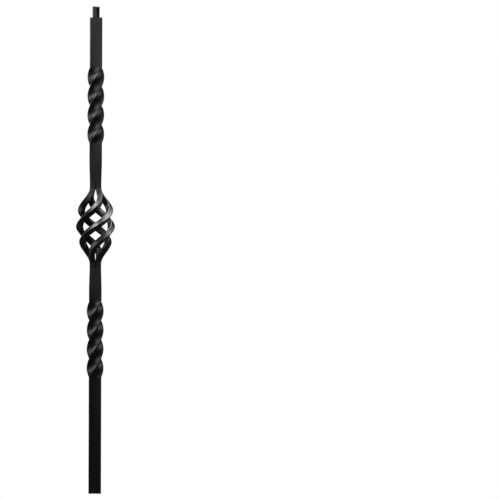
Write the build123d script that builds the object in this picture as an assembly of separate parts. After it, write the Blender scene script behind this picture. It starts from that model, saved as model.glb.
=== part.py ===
"""Iron newel post: a square bar with two full twists and an open basket of four rods.

The post stands upright, +Z up, with its origin at the centre of its foot. All sizes are in
millimetres. A right-handed turn goes counter-clockwise, seen from above, as it climbs.
"""
import os
from math import cos, radians, sin, sqrt

from build123d import *

# Square bar
bar_side = 30.0
bar_edge_bevel = 0.7

# Lengths along the post, from the foot up
foot_length = 286.0
lower_shank_length = 33.0
upper_shank_length = 49.5
head_length = 121.0

# Twists in the bar, each eased in over a short length at both ends
twist_length = 190.0
twist_turn = 360.0
twist_easing = 2.5

# Drawn-down end of the bar, where it meets the basket
neck_taper_length = 42.0
neck_length = 3.5

# Square rods of the basket
rod_side = 13.7
rod_edge_bevel = 1.2
rod_gap = 0.2
rod_tail_length = 12.5

# Basket
basket_length = 187.5
basket_width = 96.0
basket_turn = 270.0
basket_fullness = 2.7
basket_turn_spread = 2.35
belly_rise = 3.0
half_turn_drop = 2.0

# Turned pin on the head
pin_diameter = 17.5
pin_length = 27.0
pin_end_chamfer = 1.0
shoulder_top_diameter = 38.6
shoulder_turned_length = 2.0

# Steps between the sections of a twist and of a rod
twist_steps = 20
rod_steps = 60
tangent_step = 0.0005

# Sizes that follow
neck_side = 2 * rod_side + rod_gap
neck_edge_bevel = rod_edge_bevel

# Heights of the joins, from the foot up
lower_twist_z = foot_length
lower_shank_z = lower_twist_z + twist_length
lower_taper_z = lower_shank_z + lower_shank_length
lower_neck_z = lower_taper_z + neck_taper_length
lower_weld_z = lower_neck_z + neck_length
basket_z = lower_weld_z + rod_tail_length
upper_weld_z = basket_z + basket_length + rod_tail_length
upper_neck_z = upper_weld_z
upper_taper_z = upper_neck_z + neck_length
upper_shank_z = upper_taper_z + neck_taper_length
upper_twist_z = upper_shank_z + upper_shank_length
head_z = upper_twist_z + twist_length
shoulder_z = head_z + head_length


def section_corners(side, bevel):
    """The eight corners of a square with bevelled edges, in order round it."""
    half = side / 2
    flat = half - bevel
    edge = [Vector(half, -flat), Vector(half, flat)]
    return [corner.rotate(Axis.Z, 90 * turn) for turn in range(4) for corner in edge]


def bevelled_square(side, bevel):
    """The section of a square bar with bevelled edges."""
    return Polygon(*section_corners(side, bevel), align=None)


def bar_section(height, angle=0.0):
    """The bar's section at a height, turned about the post's axis."""
    return Pos(0, 0, height) * Rot(0, 0, angle) * bevelled_square(bar_side, bar_edge_bevel)


def neck_section(height):
    """The outline of the four rods packed together."""
    return Pos(0, 0, height) * bevelled_square(neck_side, neck_edge_bevel)


def straight_bar(bottom, length):
    """A plain stretch of the bar."""
    return extrude(bar_section(bottom), amount=length)


def twist_angle(height):
    """The turn reached at a height above the start of a twist.

    The rate rises and falls evenly over the easing and is steady between.
    """
    rate = twist_turn / (twist_length - twist_easing)
    if height < twist_easing:
        return rate * height**2 / (2 * twist_easing)
    if height > twist_length - twist_easing:
        return twist_turn - rate * (twist_length - height) ** 2 / (2 * twist_easing)
    return rate * (height - twist_easing / 2)


def twisted_bar(bottom):
    """A stretch of the bar wrung through a full turn."""
    heights = [twist_length * step / twist_steps for step in range(twist_steps + 1)]
    return loft([bar_section(bottom + height, twist_angle(height)) for height in heights])


def make_lower_bar():
    """Foot, twist, shank and drawn-down upper end."""
    foot = straight_bar(0, foot_length)
    twist = twisted_bar(lower_twist_z)
    shank = straight_bar(lower_shank_z, lower_shank_length)
    taper = loft([bar_section(lower_taper_z), neck_section(lower_neck_z)], ruled=True)
    neck = extrude(neck_section(lower_neck_z), amount=neck_length)
    return foot + twist + shank + taper + neck


def make_head():
    """Top stretch of the bar, with its corners turned back to a cone below the shoulder."""
    corner_radius = bar_side / sqrt(2)
    shoulder_radius = shoulder_top_diameter / 2
    slope = (corner_radius - shoulder_radius) / shoulder_turned_length
    cone = Cone(
        shoulder_radius + slope * head_length,
        shoulder_radius,
        head_length,
        align=(Align.CENTER, Align.CENTER, Align.MAX),
    )
    return straight_bar(head_z, head_length) & (Pos(0, 0, shoulder_z) * cone)


def make_pin():
    """Round pin that stands on the shoulder."""
    pin = extrude(Pos(0, 0, shoulder_z) * Circle(pin_diameter / 2), amount=pin_length)
    return chamfer(pin.edges().sort_by(Axis.Z)[-1], pin_end_chamfer)


def make_upper_bar():
    """Drawn-down lower end, shank, twist, head and pin."""
    neck = extrude(neck_section(upper_neck_z), amount=neck_length)
    taper = loft([neck_section(upper_taper_z), bar_section(upper_shank_z)], ruled=True)
    shank = straight_bar(upper_shank_z, upper_shank_length)
    twist = twisted_bar(upper_twist_z)
    return neck + taper + shank + twist + make_head() + make_pin()


def shifted_share(share, rise):
    """A share of the basket's height, bent so that its middle lies higher by the rise."""
    return share - 4 * rise / basket_length * share * (1 - share)


def rod_radius(share):
    """Distance from the post's axis to a rod's centre line."""
    packed_radius = (rod_side + rod_gap) / sqrt(2)
    corner_reach = (rod_side - rod_edge_bevel) / sqrt(2)
    widest_radius = basket_width / 2 - corner_reach
    from_middle = abs(2 * shifted_share(share, belly_rise) - 1)
    swell = (1 - from_middle**basket_fullness) ** 2
    return packed_radius + (widest_radius - packed_radius) * swell


def rod_turn(share):
    """Degrees that a rod has gone round the axis: slow at both ends, steady between."""
    from_middle = 2 * shifted_share(share, -half_turn_drop) - 1
    power = basket_turn_spread + 1
    half_way = abs(from_middle) / 2 - abs(from_middle) ** power / (2 * power)
    direction = 1 if from_middle > 0 else -1
    return basket_turn * (0.5 + direction * half_way * power / basket_turn_spread)


def outward(share, start_angle):
    """Unit vector from the axis towards a rod."""
    angle = radians(start_angle + rod_turn(share))
    return Vector(cos(angle), sin(angle), 0)


def rod_point(share, start_angle):
    """Point on a rod's centre line."""
    height = basket_z + basket_length * share
    return outward(share, start_angle) * rod_radius(share) + Vector(0, 0, height)


def rod_section(share, start_angle):
    """Corners of a rod's section, square to its centre line, with one edge turned outward."""
    ahead = rod_point(share + tangent_step, start_angle)
    behind = rod_point(share - tangent_step, start_angle)
    across = Plane(
        origin=rod_point(share, start_angle),
        x_dir=outward(share, start_angle),
        z_dir=ahead - behind,
    )
    turned = across.location * Rot(0, 0, 45)
    corners = section_corners(rod_side, rod_edge_bevel)
    return [(turned * Pos(corner)).position for corner in corners]


def flat_cell(lower, upper, corner):
    """The two flat triangles between two sections, on the side that ends at a corner."""
    first = Wire.make_polygon([lower[corner - 1], lower[corner], upper[corner]])
    second = Wire.make_polygon([lower[corner - 1], upper[corner], upper[corner - 1]])
    return [Face(first), Face(second)]


def solid_through(sections):
    """A solid with flat ends, through the corners of one section after another."""
    faces = [Face(Wire.make_polygon(sections[0])), Face(Wire.make_polygon(sections[-1]))]
    for lower, upper in zip(sections, sections[1:]):
        for corner in range(len(lower)):
            faces += flat_cell(lower, upper, corner)
    return Solid(Shell(faces))


def make_rod(start_angle):
    """One basket rod: straight tail, bend round the open middle, straight tail."""
    bent = [rod_section(step / rod_steps, start_angle) for step in range(rod_steps + 1)]
    lower_end = [Vector(corner.X, corner.Y, lower_weld_z) for corner in bent[0]]
    upper_end = [Vector(corner.X, corner.Y, upper_weld_z) for corner in bent[-1]]
    return solid_through([lower_end, *bent, upper_end])


rod_start_angles = {
    "back_right": 45,
    "back_left": 135,
    "front_left": 225,
    "front_right": 315,
}

parts = {"lower_bar": make_lower_bar(), "upper_bar": make_upper_bar()}
for corner, start_angle in rod_start_angles.items():
    parts[f"basket_rod_{corner}"] = make_rod(start_angle)

os.makedirs("parts", exist_ok=True)
for name, part in parts.items():
    export_step(part, f"parts/{name}.step")
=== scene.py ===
"""Iron newel post, finished in satin black powder coat, in front of a white studio background.

Every length is in metres, in the frame of the CAD model: +Z up, origin at the centre of the foot.
Every named angle is in degrees.
"""

from math import cos, pi, radians, sin, sqrt

import bmesh
import bpy
from mathutils import Euler, Matrix, Vector


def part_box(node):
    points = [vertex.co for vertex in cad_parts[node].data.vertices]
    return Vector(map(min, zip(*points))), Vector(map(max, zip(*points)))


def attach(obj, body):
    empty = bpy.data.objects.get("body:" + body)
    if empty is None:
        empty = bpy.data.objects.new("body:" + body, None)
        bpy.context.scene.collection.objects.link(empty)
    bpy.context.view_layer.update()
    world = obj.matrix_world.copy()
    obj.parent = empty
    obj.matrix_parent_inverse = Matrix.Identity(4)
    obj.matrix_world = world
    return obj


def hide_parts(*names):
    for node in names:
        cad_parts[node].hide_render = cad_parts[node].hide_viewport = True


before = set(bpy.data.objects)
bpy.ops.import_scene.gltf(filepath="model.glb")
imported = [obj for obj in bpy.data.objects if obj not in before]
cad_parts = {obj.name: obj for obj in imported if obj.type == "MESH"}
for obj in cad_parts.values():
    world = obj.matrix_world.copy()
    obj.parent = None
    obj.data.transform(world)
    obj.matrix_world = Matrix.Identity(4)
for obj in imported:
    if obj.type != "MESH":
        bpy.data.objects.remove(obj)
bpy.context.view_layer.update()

# Square bar
bar_side = 0.030
bar_edge_radius = 0.0012
foot_edge_break = 0.0004

# Twists in the bar
foot_length = 0.286
twist_length = 0.190
twist_turn = 360.0
twist_easing = 0.0025
head_length = 0.121

# Drawn-down end of the bar, and the dish ground into it along the weld
neck_taper_length = 0.042
neck_length = 0.0035
neck_side = 0.0276
neck_edge_radius = 0.0013
weld_width = 0.0022
weld_depth = 0.00018

# Turned pin and shoulder
pin_diameter = 0.0175
pin_length = 0.027
pin_end_chamfer = 0.001
shoulder_top_diameter = 0.0386
shoulder_turned_length = 0.002

# Basket rods
rod_side = 0.0137
rod_edge_radius = 0.0015
rod_gap = 0.0002
rod_tail_length = 0.0125
basket_width = 0.096
basket_turn = 270.0
basket_fullness = 2.7
basket_turn_spread = 2.35
belly_rise = 0.003
half_turn_drop = 0.002
rod_start_angles = {
    "back_right": 45,
    "back_left": 135,
    "front_left": 225,
    "front_right": 315,
}

# Shallow marks of a clamp on two rods: share of the way up the basket, face of the rod, place
# across that face, half the mark's length and half its width
clamp_mark_depth = 0.00025
clamp_marks = {
    "back_right": (0.936, 3, 0.0032, 0.004, 0.0021),
    "front_left": (0.053, 0, -0.0006, 0.003, 0.0017),
}

# Mesh: points to each rounded edge and face of a square, then distances and counts of rings
corner_points = 6
face_points = 12
ring_spacing = 0.0016
rod_ring_spacing = 0.0008
shoulder_ring_spacing = 0.0002
weld_ring_count = 8
taper_ring_count = 10
crease_angle = 30.0

# Share of the basket's height, up and down, over which a rod's direction is taken
tangent_step = 0.0005

# Photograph: rows of the post's two ends and column of its axis, in a square of so many pixels
photo_pixels = 500
pin_top_row = 6.42
foot_row = 493.78
axis_column = 95.4
camera_azimuth = -2.3
camera_roll = -0.17
camera_distance = 6.0

# Powder coat, the noise in it: scale per metre and detail
mottle_noise = (70, 4)
grain_noise = (1400, 2)
peel_noise = (420, 1)
waves_noise = (38, 1)

# Powder coat, the depth of the bumps that each noise makes
waves_depth = 0.00005
peel_depth = 0.000014
grain_depth = 0.000008

# Powder coat, colour and gloss, with the ranges of the noise that carry them
deep_coat_colour = (0.0040, 0.0037, 0.0048)
pale_coat_colour = (0.0064, 0.0060, 0.0074)
colour_mottle_range = (0.35, 0.65)
least_roughness = 0.30
most_roughness = 0.38
roughness_mottle_range = (0.3, 0.7)
grain_roughness = 0.04
grain_range = (0.25, 0.75)
edge_smoothness = 0.06
coat_specular_level = 0.5
coat_specular_tint = (0.97, 0.94, 1.0, 1)

# Studio light: degrees from the front towards +X, distance, height, width, depth, watts
soft_box_spread = 110.0
light_target_z = 0.75
soft_boxes = {
    "overhead_bank": (90, 0.45, 2.45, 1.5, 1.3, 34.0),
    "high_right": (125, 1.1, 2.2, 0.9, 0.9, 4.0),
    "high_left": (-85, 0.8, 2.0, 0.5, 0.5, 6.0),
    "left": (-90, 1.3, 1.4, 1.0, 1.0, 3.4),
    "front_left": (-25, 1.6, 1.5, 0.9, 0.9, 2.4),
    "front": (0, 1.6, 1.4, 0.9, 1.0, 1.15),
    "front_low": (0, 1.6, 0.62, 0.9, 0.25, 0.12),
    "low_left": (-110, 1.3, 0.5, 0.9, 0.9, 1.4),
    "low_right": (110, 1.3, 0.5, 0.9, 0.9, 1.0),
    "back": (180, 1.5, 1.3, 0.9, 0.9, 2.0),
}

# White surroundings: the world as a light, and the floor for the camera and as a reflector
white = (1, 1, 1, 1)
world_light = 0.02
floor_side = 12.0
floor_roughness = 0.8
floor_colour = (0.12, 0.12, 0.12)
floor_bounce_colour = (0.05, 0.05, 0.05)
floor_glow = 0.66
floor_fade_start = 0.7

# Heights taken from the CAD pieces
lower_weld_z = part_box("lower_bar")[1].z
upper_weld_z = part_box("upper_bar")[0].z
post_top_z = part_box("upper_bar")[1].z
shoulder_z = post_top_z - pin_length
basket_z = lower_weld_z + rod_tail_length
basket_length = upper_weld_z - rod_tail_length - basket_z


def rounded_square(side, radius):
    """Points round a square with rounded edges, from the lower end of its +X face."""
    half = side / 2
    flat = half - radius
    quarter = []
    for step in range(face_points):
        quarter.append(Vector((half, flat * (2 * step / face_points - 1))))
    for step in range(corner_points):
        angle = pi / 2 * step / corner_points
        quarter.append(Vector((flat + radius * cos(angle), flat + radius * sin(angle))))
    turns = [Matrix.Rotation(pi / 2 * turn, 2) for turn in range(4)]
    return [turn @ point for turn in turns for point in quarter]


def level_ring(section, height, turn=0.0):
    """A section laid flat at a height, turned about the post's axis by some degrees."""
    rotation = Matrix.Rotation(radians(turn), 2)
    return [Vector((*(rotation @ point), height)) for point in section]


def circle_ring(radius, height):
    """A level circle with as many points as a rounded square, in step with its corners."""
    count = 4 * (face_points + corner_points)
    angles = [2 * pi * (step + corner_points / 2) / count - pi / 4 for step in range(count)]
    return [Vector((radius * cos(angle), radius * sin(angle), height)) for angle in angles]


def bar_ring(height, turn=0.0, inset=0.0):
    """Ring round the bar."""
    return level_ring(rounded_square(bar_side - 2 * inset, bar_edge_radius), height, turn)


def steps(start, end, spacing):
    """Evenly spaced values from start to end, both included."""
    count = max(1, round(abs(end - start) / spacing))
    return [start + (end - start) * step / count for step in range(count + 1)]


def twist_angle(height):
    """The turn reached at a height above the start of a twist, eased in at both ends."""
    rate = twist_turn / (twist_length - twist_easing)
    if height < twist_easing:
        return rate * height**2 / (2 * twist_easing)
    if height > twist_length - twist_easing:
        return twist_turn - rate * (twist_length - height) ** 2 / (2 * twist_easing)
    return rate * (height - twist_easing / 2)


def twist_rings(bottom):
    """Rings of a stretch of the bar wrung through a full turn."""
    heights = steps(0, twist_length, ring_spacing)
    return [bar_ring(bottom + height, twist_angle(height)) for height in heights]


def neck_ring(height, share=0.0, sunk=0.0):
    """Ring between the neck, at share 0, and the full bar, at share 1."""
    side = neck_side + (bar_side - neck_side) * share - 2 * sunk
    radius = neck_edge_radius + (bar_edge_radius - neck_edge_radius) * share
    return level_ring(rounded_square(side, radius), height)


def taper_rings(weld_z, upward):
    """Rings of the drawn-down end, from the weld to the full bar."""
    rings = []
    for away in steps(0, neck_length, weld_width / weld_ring_count):
        share = min(1.0, away / weld_width)
        sunk = weld_depth * (1 - share**2) ** 2
        rings.append(neck_ring(weld_z + upward * away, sunk=sunk))
    for share in steps(0, 1, 1 / taper_ring_count)[1:]:
        height = weld_z + upward * (neck_length + neck_taper_length * share)
        rings.append(neck_ring(height, share))
    return rings


def lower_bar_rings():
    """Foot, twist, shank and drawn-down upper end."""
    foot = [bar_ring(0, inset=foot_edge_break), bar_ring(foot_edge_break)]
    return foot + twist_rings(foot_length) + taper_rings(lower_weld_z, -1)[::-1]


def turned_ring(below):
    """Ring of the head at a depth below its shoulder, cut back to the turned cone."""
    corner_radius = bar_side / sqrt(2)
    shoulder_radius = shoulder_top_diameter / 2
    slope = (corner_radius - shoulder_radius) / shoulder_turned_length
    cone_radius = shoulder_radius + slope * below
    ring = []
    for point in bar_ring(shoulder_z - below):
        reach = point.xy.length
        scale = min(1.0, cone_radius / reach)
        ring.append(Vector((point.x * scale, point.y * scale, point.z)))
    return ring


def upper_bar_rings():
    """Drawn-down lower end, shank, twist, head with its turned shoulder, and pin."""
    twist_z = shoulder_z - head_length - twist_length
    depths = steps(shoulder_turned_length, 0, shoulder_ring_spacing)
    head = [turned_ring(below) for below in depths]
    pin_radius = pin_diameter / 2
    pin = [
        circle_ring(pin_radius, shoulder_z),
        circle_ring(pin_radius, post_top_z - pin_end_chamfer),
        circle_ring(pin_radius - pin_end_chamfer, post_top_z),
    ]
    return taper_rings(upper_weld_z, 1) + twist_rings(twist_z) + head + pin


def shifted_share(share, rise):
    """A share of the basket's height, bent so that its middle lies higher by the rise."""
    return share - 4 * rise / basket_length * share * (1 - share)


def rod_radius(share):
    """Distance from the post's axis to a rod's centre line."""
    packed_radius = (rod_side + rod_gap) / sqrt(2)
    corner_reach = rod_side / sqrt(2) - rod_edge_radius * (sqrt(2) - 1)
    widest_radius = basket_width / 2 - corner_reach
    from_middle = abs(2 * shifted_share(share, belly_rise) - 1)
    swell = (1 - from_middle**basket_fullness) ** 2
    return packed_radius + (widest_radius - packed_radius) * swell


def rod_turn(share):
    """Degrees that a rod has gone round the axis: slow at both ends, steady between."""
    from_middle = 2 * shifted_share(share, -half_turn_drop) - 1
    power = basket_turn_spread + 1
    half_way = abs(from_middle) / 2 - abs(from_middle) ** power / (2 * power)
    direction = 1 if from_middle > 0 else -1
    return basket_turn * (0.5 + direction * half_way * power / basket_turn_spread)


def rod_point(share, start_angle):
    """Point on a rod's centre line."""
    angle = radians(start_angle + rod_turn(share))
    radius = rod_radius(share)
    return Vector((radius * cos(angle), radius * sin(angle), basket_z + basket_length * share))


def rod_section(share, mark):
    """A rod's section, with one face pressed in where a clamp left its mark."""
    section = rounded_square(rod_side, rod_edge_radius)
    if mark is None:
        return section
    mark_share, face, place, half_length, half_width = mark
    turn = Matrix.Rotation(pi / 2 * face, 2)
    outward, across = turn @ Vector((1, 0)), turn @ Vector((0, 1))
    along = (share - mark_share) * basket_length / half_length
    first = face * (face_points + corner_points)
    for index in range(first, first + face_points):
        aside = (section[index].dot(across) - place) / half_width
        pressed = clamp_mark_depth * max(0.0, 1 - along**2 - aside**2) ** 2
        section[index] = section[index] - outward * pressed
    return section


def rod_ring(share, start_angle, mark):
    """Ring round a rod, square to its centre line, with one edge turned outward."""
    centre = rod_point(share, start_angle)
    ahead = rod_point(share + tangent_step, start_angle)
    behind = rod_point(share - tangent_step, start_angle)
    along = (ahead - behind).normalized()
    outward = Vector((centre.x, centre.y, 0))
    across = along.cross(outward).normalized()
    outward = across.cross(along)
    turned = Matrix.Rotation(pi / 4, 2)
    section = [turned @ point for point in rod_section(share, mark)]
    return [centre + outward * point.x + across * point.y for point in section]


def rod_rings(start_angle, mark):
    """Rings of one basket rod, with its straight tails."""
    shares = steps(0, 1, rod_ring_spacing / basket_length)
    bent = [rod_ring(share, start_angle, mark) for share in shares]
    tail = Vector((0, 0, rod_tail_length))
    lower_end = [point - tail for point in bent[0]]
    upper_end = [point + tail for point in bent[-1]]
    return [lower_end, *bent, upper_end]


def edge_share(index):
    """How far a ring's point lies on a rounded edge: 1 in its middle, 0 on the faces."""
    place = index % (face_points + corner_points)
    if place == 0:
        place = face_points + corner_points
    from_middle = abs(place - face_points - corner_points / 2)
    return max(0.0, 1 - from_middle / (corner_points / 2 + 1))


def skin(rings):
    """A closed mesh through rings of points, with how edge-like each point is."""
    mesh = bmesh.new()
    edge_layer = mesh.verts.layers.float.new("edge")
    rows = []
    for ring in rings:
        row = [mesh.verts.new(point) for point in ring]
        for index, vertex in enumerate(row):
            vertex[edge_layer] = edge_share(index)
        rows.append(row)
    for lower, upper in zip(rows, rows[1:]):
        for index in range(len(lower)):
            mesh.faces.new((lower[index - 1], lower[index], upper[index], upper[index - 1]))
    mesh.faces.new(rows[0][::-1])
    mesh.faces.new(rows[-1])
    bmesh.ops.recalc_face_normals(mesh, faces=mesh.faces)
    return mesh


def make_piece(node, rings, material):
    """A finely meshed piece that stands for one CAD node."""
    mesh = bpy.data.meshes.new(f"{node}_coated")
    built = skin(rings)
    built.to_mesh(mesh)
    built.free()
    mesh.shade_smooth()
    mesh.set_sharp_from_angle(angle=radians(crease_angle))
    piece = bpy.data.objects.new(f"{node}_coated", mesh)
    bpy.context.scene.collection.objects.link(piece)
    mesh.materials.append(material)
    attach(piece, "root")
    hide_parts(node)


class Nodes:
    """Short calls for building a material's nodes."""

    def __init__(self, material):
        material.use_nodes = True
        self.tree = material.node_tree
        self.shader = self.tree.nodes["Principled BSDF"]

    def add(self, kind, **settings):
        """A new node, with its properties set by name."""
        node = self.tree.nodes.new(kind)
        for name, value in settings.items():
            setattr(node, name, value)
        return node

    def link(self, source, target):
        """A link from an output to an input."""
        self.tree.links.new(source, target)

    def noise(self, scale, detail):
        """Noise in metres of object space."""
        place = self.add("ShaderNodeTexCoord")
        noise = self.add("ShaderNodeTexNoise")
        noise.inputs["Scale"].default_value = scale
        noise.inputs["Detail"].default_value = detail
        self.link(place.outputs["Object"], noise.inputs["Vector"])
        return noise.outputs["Fac"]

    def spread(self, value, low, high, from_low=0.0, from_high=1.0):
        """The value carried from one range to another."""
        spread = self.add("ShaderNodeMapRange")
        spread.inputs["From Min"].default_value = from_low
        spread.inputs["From Max"].default_value = from_high
        spread.inputs["To Min"].default_value = low
        spread.inputs["To Max"].default_value = high
        self.link(value, spread.inputs["Value"])
        return spread.outputs["Result"]

    def math(self, operation, first, second):
        """The result of an operation on two values."""
        node = self.add("ShaderNodeMath", operation=operation)
        self.link(first, node.inputs[0])
        self.link(second, node.inputs[1])
        return node.outputs["Value"]

    def tint(self, share, first, second):
        """Colour between two, by share."""
        mix = self.add("ShaderNodeMix", data_type="RGBA")
        mix.inputs["A"].default_value = (*first, 1)
        mix.inputs["B"].default_value = (*second, 1)
        self.link(share, mix.inputs["Factor"])
        return mix.outputs["Result"]

    def bump(self, height, distance, under=None):
        """Normals bumped by a height, over those of another bump if one is given."""
        bump = self.add("ShaderNodeBump")
        bump.inputs["Distance"].default_value = distance
        bump.inputs["Strength"].default_value = 1.0
        self.link(height, bump.inputs["Height"])
        if under is not None:
            self.link(under, bump.inputs["Normal"])
        return bump.outputs["Normal"]


def powder_coat():
    """Satin black powder coat: fine orange peel, faint mottling, smoother over the edges."""
    material = bpy.data.materials.new("black_powder_coat")
    nodes = Nodes(material)
    edge = nodes.add("ShaderNodeAttribute", attribute_name="edge").outputs["Fac"]
    mottle = nodes.noise(*mottle_noise)
    grain = nodes.noise(*grain_noise)
    peel = nodes.noise(*peel_noise)
    waves = nodes.noise(*waves_noise)

    paleness = nodes.spread(mottle, 0, 1, *colour_mottle_range)
    colour = nodes.tint(paleness, deep_coat_colour, pale_coat_colour)
    nodes.link(colour, nodes.shader.inputs["Base Color"])

    cloudy = nodes.spread(mottle, least_roughness, most_roughness, *roughness_mottle_range)
    speckles = nodes.spread(grain, -grain_roughness, grain_roughness, *grain_range)
    speckled = nodes.math("ADD", cloudy, speckles)
    roughness = nodes.math("SUBTRACT", speckled, nodes.spread(edge, 0, edge_smoothness))
    nodes.link(roughness, nodes.shader.inputs["Roughness"])

    normal = nodes.bump(waves, waves_depth)
    normal = nodes.bump(peel, peel_depth, under=normal)
    normal = nodes.bump(grain, grain_depth, under=normal)
    nodes.link(normal, nodes.shader.inputs["Normal"])
    nodes.shader.inputs["Specular IOR Level"].default_value = coat_specular_level
    nodes.shader.inputs["Specular Tint"].default_value = coat_specular_tint
    return material


def soft_box(name, azimuth, distance, height, width, depth, watts):
    """Rectangular studio light, aimed at the middle of the post."""
    light = bpy.data.lights.new(name, "AREA")
    light.shape = "RECTANGLE"
    light.size = width
    light.size_y = depth
    light.spread = radians(soft_box_spread)
    light.energy = watts
    lamp = bpy.data.objects.new(name, light)
    bearing = radians(azimuth)
    place = Vector((distance * sin(bearing), -distance * cos(bearing), height))
    target = Vector((0, 0, light_target_z))
    lamp.location = place
    lamp.rotation_euler = (target - place).to_track_quat("-Z", "Y").to_euler()
    bpy.context.scene.collection.objects.link(lamp)


def make_lights():
    """A wide bank over the post, and weaker panels round it."""
    for name, settings in soft_boxes.items():
        soft_box(name, *settings)


def make_world():
    """White for the camera, dimmer as a light."""
    world = bpy.data.worlds.new("studio")
    bpy.context.scene.world = world
    world.use_nodes = True
    nodes, links = world.node_tree.nodes, world.node_tree.links
    background = nodes["Background"]
    background.inputs["Color"].default_value = white
    path = nodes.new("ShaderNodeLightPath")
    strength = nodes.new("ShaderNodeMapRange")
    strength.inputs["To Min"].default_value = world_light
    strength.inputs["To Max"].default_value = 1.0
    links.new(path.outputs["Is Camera Ray"], strength.inputs["Value"])
    links.new(strength.outputs["Result"], background.inputs["Strength"])


def make_floor():
    """Plain pale floor that takes the post's shadow and fades to white away from it.

    It is bright for the camera and dim as a reflector.
    """
    bpy.ops.mesh.primitive_plane_add(size=floor_side)
    floor = bpy.context.object
    floor.name = "floor"
    material = bpy.data.materials.new("pale_floor")
    nodes = Nodes(material)
    nodes.shader.inputs["Roughness"].default_value = floor_roughness
    nodes.shader.inputs["Specular IOR Level"].default_value = 0.0
    seen = nodes.add("ShaderNodeLightPath").outputs["Is Camera Ray"]
    colour = nodes.tint(seen, floor_bounce_colour, floor_colour)
    nodes.link(colour, nodes.shader.inputs["Base Color"])
    nodes.shader.inputs["Emission Color"].default_value = white
    away = nodes.add("ShaderNodeVectorMath", operation="LENGTH")
    nodes.link(nodes.add("ShaderNodeTexCoord").outputs["Object"], away.inputs["Vector"])
    glow = nodes.spread(away.outputs["Value"], floor_glow, 1.0, floor_fade_start, floor_side / 2)
    nodes.link(nodes.math("MULTIPLY", seen, glow), nodes.shader.inputs["Emission Strength"])
    floor.data.materials.append(material)


def make_camera():
    """Level camera far in front, framing the post as the photograph does."""
    metres_per_pixel = post_top_z / (foot_row - pin_top_row)
    data = bpy.data.cameras.new("camera")
    data.type = "ORTHO"
    data.ortho_scale = photo_pixels * metres_per_pixel
    camera = bpy.data.objects.new("camera", data)
    aim = Euler((pi / 2, radians(camera_roll), radians(camera_azimuth)))
    right, up, back = aim.to_matrix().transposed()
    sideways = (photo_pixels / 2 - axis_column) * metres_per_pixel
    raised = ((foot_row + pin_top_row) / 2 - photo_pixels / 2) * metres_per_pixel
    post_middle = Vector((0, 0, post_top_z / 2))
    camera.location = post_middle + right * sideways + up * raised + back * camera_distance
    camera.rotation_euler = aim
    bpy.context.scene.collection.objects.link(camera)
    bpy.context.scene.camera = camera


coat = powder_coat()
make_piece("lower_bar", lower_bar_rings(), coat)
make_piece("upper_bar", upper_bar_rings(), coat)
for corner, start_angle in rod_start_angles.items():
    rings = rod_rings(start_angle, clamp_marks.get(corner))
    make_piece(f"basket_rod_{corner}", rings, coat)
make_floor()
make_lights()
make_world()
make_camera()
bpy.context.scene.view_settings.view_transform = "Standard"
